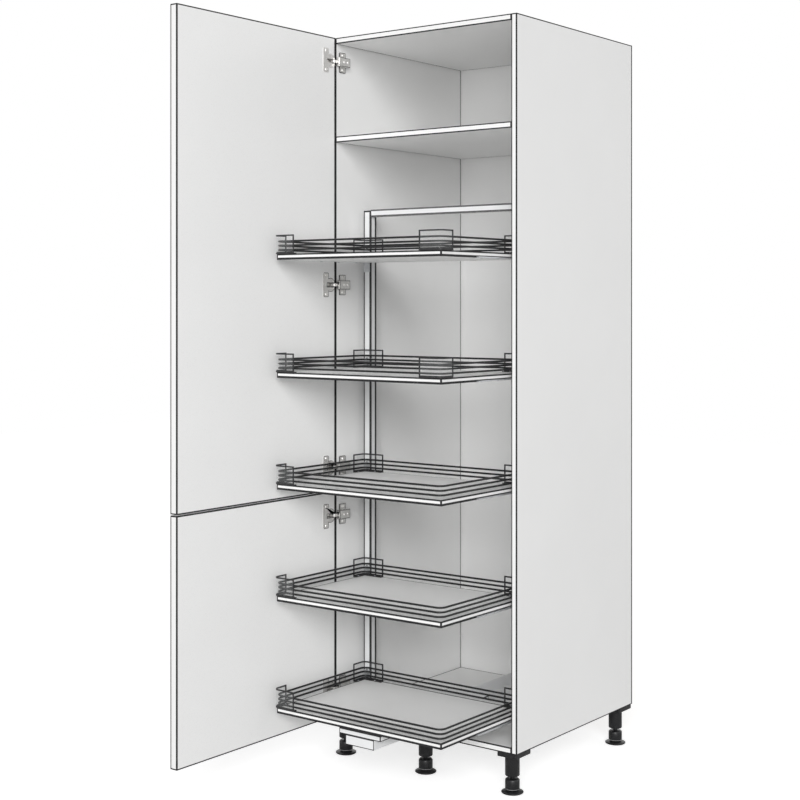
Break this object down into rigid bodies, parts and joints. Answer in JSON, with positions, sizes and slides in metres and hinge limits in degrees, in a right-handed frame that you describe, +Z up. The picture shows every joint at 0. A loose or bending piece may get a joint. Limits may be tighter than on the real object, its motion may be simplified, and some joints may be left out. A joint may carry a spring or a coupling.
{
  "type": "pull-out pantry cabinet",
  "caption": "Tall white pantry cabinet with two hinged doors standing open and a pull-out frame of railed trays drawn out.",
  "frame": {"origin": "Centre of the front middle foot on the floor, 27 mm behind the carcase's front edges.", "axes": "+X to the cabinet's right as seen from the front, +Y towards the wall, +Z up."},
  "size_m": [0.606, 1.2005, 1.985],
  "materials": {
    "carcase_board": "white melamine-faced chipboard, fine satin",
    "door_board": "white lacquered board, satin",
    "back_board": "white printed hardboard",
    "dowel_wood": "plain beech",
    "tray_board": "white melamine-faced board, fine texture",
    "frame_coating": "light powder coating",
    "corner_clear": "clear moulded plastic, polished",
    "railing_wire": "black coated wire, satin",
    "nickel_steel": "nickel plated",
    "zinc_steel": "zinc plated",
    "pin_steel": "ground steel",
    "leg_plastic": "black moulded",
    "cap_plastic": "light grey moulded",
    "cage_plastic": "grey moulded"
  },
  "bodies": {
    "carcase": {"left_side": "carcase_board", "right_side": "carcase_board", "top_panel": "carcase_board", "bottom_panel": "carcase_board", "fixed_shelf": "carcase_board", "back_panel": "back_board", "carcase_dowels": "dowel_wood", "wall_brackets": "zinc_steel", "leg_sockets": "leg_plastic", "leg_barrels": "leg_plastic", "leg_feet": "leg_plastic", "hinge_plates": "nickel_steel", "hinge_arms": "nickel_steel", "runner_rail": "frame_coating"},
    "door_upper": {"upper_door": "door_board", "upper_hinge_cups": "nickel_steel", "upper_hinge_pins": "pin_steel"},
    "door_lower": {"lower_door": "door_board", "lower_hinge_cups": "nickel_steel", "lower_hinge_pins": "pin_steel"},
    "pull_out": {"left_post": "frame_coating", "right_post": "frame_coating", "frame_top_rail": "frame_coating", "frame_bottom_rail": "frame_coating", "post_caps": "cap_plastic", "frame_gussets": "frame_coating", "carriage_plate": "frame_coating", "runner_channel": "frame_coating", "runner_end_cap": "cap_plastic", "tray_1": "tray_board", "tray_2": "tray_board", "tray_3": "tray_board", "tray_4": "tray_board", "tray_5": "tray_board", "railing_1": "railing_wire", "railing_2": "railing_wire", "railing_3": "railing_wire", "railing_4": "railing_wire", "railing_5": "railing_wire", "corner_plates_1": "corner_clear", "corner_plates_2": "corner_clear", "corner_plates_3": "corner_clear", "corner_plates_4": "corner_clear", "corner_plates_5": "corner_clear", "tray_carriers_1": "zinc_steel", "tray_carriers_2": "zinc_steel", "tray_carriers_3": "zinc_steel", "tray_carriers_4": "zinc_steel", "tray_carriers_5": "zinc_steel"},
    "cages": {"ball_cages": "cage_plastic", "bearing_balls": "pin_steel"}
  },
  "joints": [
    {"name": "upper_door_hinge", "type": "hinge", "parent": "carcase", "child": "door_upper", "pos_m": [-0.2915, -0.0375, 1.3], "axis": [0, 0, -1], "range_deg": [-4, 15]},
    {"name": "lower_door_hinge", "type": "hinge", "parent": "carcase", "child": "door_lower", "pos_m": [-0.2915, -0.0375, 0.4], "axis": [0, 0, -1], "range_deg": [-4, 15]},
    {"name": "pull_out_slide", "type": "slide", "parent": "carcase", "child": "pull_out", "axis": [0, 1, 0], "range_m": [0, 0.281]},
    {"name": "ball_cage_slide", "type": "slide", "parent": "carcase", "child": "cages", "axis": [0, 1, 0], "range_m": [0, 0.1405]}
  ],
  "couplings": [
    {"joint": "ball_cage_slide", "follows": "pull_out_slide", "ratio": 0.5}
  ]
}
